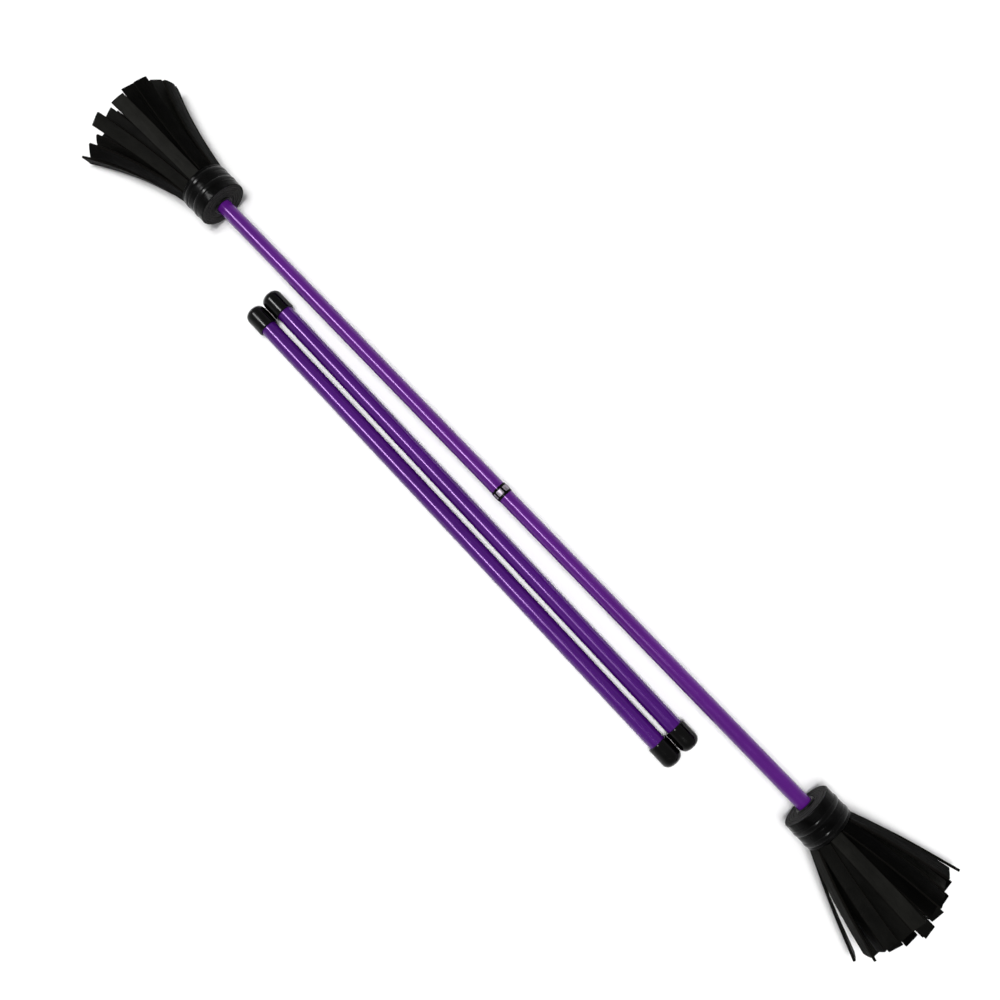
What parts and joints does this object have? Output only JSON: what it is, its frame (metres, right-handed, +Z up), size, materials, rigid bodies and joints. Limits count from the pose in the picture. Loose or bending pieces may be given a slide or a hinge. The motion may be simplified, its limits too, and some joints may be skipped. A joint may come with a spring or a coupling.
{
  "type": "devil stick",
  "caption": "Flower-stick juggling set: a purple grip stick with black leather tassels at both ends and two matching hand sticks, lying flat.",
  "frame": {"origin": "on the supporting surface, at the middle of the set's bounding box", "axes": "+X along the flower stick, +Z up from the surface, hand sticks on the -Y side"},
  "size_m": [0.65, 0.0773, 0.0358],
  "materials": {
    "purple_silicone": "glossy",
    "black_leather": "satin",
    "black_rubber": "glossy",
    "black_tape": "glossy",
    "silver_foil": "satin",
    "fibreglass": "satin"
  },
  "bodies": {
    "flower_stick": {"core_rod": "fibreglass", "grip_sleeve": "purple_silicone", "centre_tape": "black_tape", "centre_foil": "silver_foil", "rod_cap_left": "black_rubber", "fringe_header_left": "black_leather", "hub_cover_left": "black_tape", "inner_binding_left": "black_rubber", "outer_binding_left": "black_rubber", "core_strips_left": "black_leather", "floor_strips_left": "black_leather", "rod_cap_right": "black_rubber", "fringe_header_right": "black_leather", "hub_cover_right": "black_tape", "inner_binding_right": "black_rubber", "outer_binding_right": "black_rubber", "core_strips_right": "black_leather", "floor_strips_right": "black_leather"},
    "left_strip_5": {"swing_strip_left_5": "black_leather"},
    "left_strip_4": {"swing_strip_left_4": "black_leather"},
    "left_strip_6": {"swing_strip_left_6": "black_leather"},
    "left_strip_3": {"swing_strip_left_3": "black_leather"},
    "left_strip_7": {"swing_strip_left_7": "black_leather"},
    "left_strip_2": {"swing_strip_left_2": "black_leather"},
    "left_strip_8": {"swing_strip_left_8": "black_leather"},
    "left_strip_1": {"swing_strip_left_1": "black_leather"},
    "left_strip_9": {"swing_strip_left_9": "black_leather"},
    "right_strip_5": {"swing_strip_right_5": "black_leather"},
    "right_strip_4": {"swing_strip_right_4": "black_leather"},
    "right_strip_6": {"swing_strip_right_6": "black_leather"},
    "right_strip_3": {"swing_strip_right_3": "black_leather"},
    "right_strip_7": {"swing_strip_right_7": "black_leather"},
    "right_strip_2": {"swing_strip_right_2": "black_leather"},
    "right_strip_8": {"swing_strip_right_8": "black_leather"},
    "right_strip_1": {"swing_strip_right_1": "black_leather"},
    "right_strip_9": {"swing_strip_right_9": "black_leather"},
    "near_hand_stick": {"hand_rod_near": "fibreglass", "hand_sleeve_near": "purple_silicone", "hand_cap_near_left": "black_rubber", "hand_cap_near_right": "black_rubber"},
    "far_hand_stick": {"hand_rod_far": "fibreglass", "hand_sleeve_far": "purple_silicone", "hand_cap_far_left": "black_rubber", "hand_cap_far_right": "black_rubber"}
  },
  "joints": [
    {"name": "open_left_5", "type": "hinge", "parent": "flower_stick", "child": "left_strip_5", "pos_m": [-0.2493, 0.00207, 0.02975], "axis": [0, 1, 0], "range_deg": [0, 45]},
    {"name": "open_left_4", "type": "hinge", "parent": "flower_stick", "child": "left_strip_4", "pos_m": [-0.2493, 0.00988, 0.02746], "axis": [0, 0.8413, -0.5406], "range_deg": [0, 45]},
    {"name": "open_left_6", "type": "hinge", "parent": "flower_stick", "child": "left_strip_6", "pos_m": [-0.2493, -0.00575, 0.02746], "axis": [0, 0.8413, 0.5406], "range_deg": [0, 45]},
    {"name": "open_left_3", "type": "hinge", "parent": "flower_stick", "child": "left_strip_3", "pos_m": [-0.2493, 0.01521, 0.0213], "axis": [0, 0.4154, -0.9096], "range_deg": [0, 45]},
    {"name": "open_left_7", "type": "hinge", "parent": "flower_stick", "child": "left_strip_7", "pos_m": [-0.2493, -0.01108, 0.0213], "axis": [0, 0.4154, 0.9096], "range_deg": [0, 45]},
    {"name": "open_left_2", "type": "hinge", "parent": "flower_stick", "child": "left_strip_2", "pos_m": [-0.2493, 0.0169, 0.01335], "axis": [0, 0, -1], "range_deg": [0, 45]},
    {"name": "open_left_8", "type": "hinge", "parent": "flower_stick", "child": "left_strip_8", "pos_m": [-0.2493, -0.01276, 0.01335], "axis": [0, 0, 1], "range_deg": [0, 45]},
    {"name": "open_left_1", "type": "hinge", "parent": "flower_stick", "child": "left_strip_1", "pos_m": [-0.2493, 0.01541, 0.00633], "axis": [0, 0, -1], "range_deg": [0, 45]},
    {"name": "open_left_9", "type": "hinge", "parent": "flower_stick", "child": "left_strip_9", "pos_m": [-0.2493, -0.01128, 0.00633], "axis": [0, 0, 1], "range_deg": [0, 45]},
    {"name": "open_right_5", "type": "hinge", "parent": "flower_stick", "child": "right_strip_5", "pos_m": [0.2493, 0.00207, 0.02975], "axis": [0, -1, 0], "range_deg": [0, 45]},
    {"name": "open_right_4", "type": "hinge", "parent": "flower_stick", "child": "right_strip_4", "pos_m": [0.2493, 0.00988, 0.02746], "axis": [0, -0.8413, 0.5406], "range_deg": [0, 45]},
    {"name": "open_right_6", "type": "hinge", "parent": "flower_stick", "child": "right_strip_6", "pos_m": [0.2493, -0.00575, 0.02746], "axis": [0, -0.8413, -0.5406], "range_deg": [0, 45]},
    {"name": "open_right_3", "type": "hinge", "parent": "flower_stick", "child": "right_strip_3", "pos_m": [0.2493, 0.01521, 0.0213], "axis": [0, -0.4154, 0.9096], "range_deg": [0, 45]},
    {"name": "open_right_7", "type": "hinge", "parent": "flower_stick", "child": "right_strip_7", "pos_m": [0.2493, -0.01108, 0.0213], "axis": [0, -0.4154, -0.9096], "range_deg": [0, 45]},
    {"name": "open_right_2", "type": "hinge", "parent": "flower_stick", "child": "right_strip_2", "pos_m": [0.2493, 0.0169, 0.01335], "axis": [0, 0, 1], "range_deg": [0, 45]},
    {"name": "open_right_8", "type": "hinge", "parent": "flower_stick", "child": "right_strip_8", "pos_m": [0.2493, -0.01276, 0.01335], "axis": [0, 0, -1], "range_deg": [0, 45]},
    {"name": "open_right_1", "type": "hinge", "parent": "flower_stick", "child": "right_strip_1", "pos_m": [0.2493, 0.01541, 0.00633], "axis": [0, 0, 1], "range_deg": [0, 45]},
    {"name": "open_right_9", "type": "hinge", "parent": "flower_stick", "child": "right_strip_9", "pos_m": [0.2493, -0.01128, 0.00633], "axis": [0, 0, -1], "range_deg": [0, 45]},
    {"name": "lift_near_hand_stick", "type": "slide", "parent": "flower_stick", "child": "near_hand_stick", "axis": [0, 0, 1], "range_m": [0, 0.15]},
    {"name": "lift_far_hand_stick", "type": "slide", "parent": "flower_stick", "child": "far_hand_stick", "axis": [0, 0, 1], "range_m": [0, 0.15]}
  ],
  "couplings": [
    {"joint": "open_left_1", "follows": "open_left_5", "ratio": 1},
    {"joint": "open_left_2", "follows": "open_left_5", "ratio": 1},
    {"joint": "open_left_3", "follows": "open_left_5", "ratio": 1},
    {"joint": "open_left_4", "follows": "open_left_5", "ratio": 1},
    {"joint": "open_left_6", "follows": "open_left_5", "ratio": 1},
    {"joint": "open_left_7", "follows": "open_left_5", "ratio": 1},
    {"joint": "open_left_8", "follows": "open_left_5", "ratio": 1},
    {"joint": "open_left_9", "follows": "open_left_5", "ratio": 1},
    {"joint": "open_right_1", "follows": "open_right_5", "ratio": 1},
    {"joint": "open_right_2", "follows": "open_right_5", "ratio": 1},
    {"joint": "open_right_3", "follows": "open_right_5", "ratio": 1},
    {"joint": "open_right_4", "follows": "open_right_5", "ratio": 1},
    {"joint": "open_right_6", "follows": "open_right_5", "ratio": 1},
    {"joint": "open_right_7", "follows": "open_right_5", "ratio": 1},
    {"joint": "open_right_8", "follows": "open_right_5", "ratio": 1},
    {"joint": "open_right_9", "follows": "open_right_5", "ratio": 1}
  ]
}
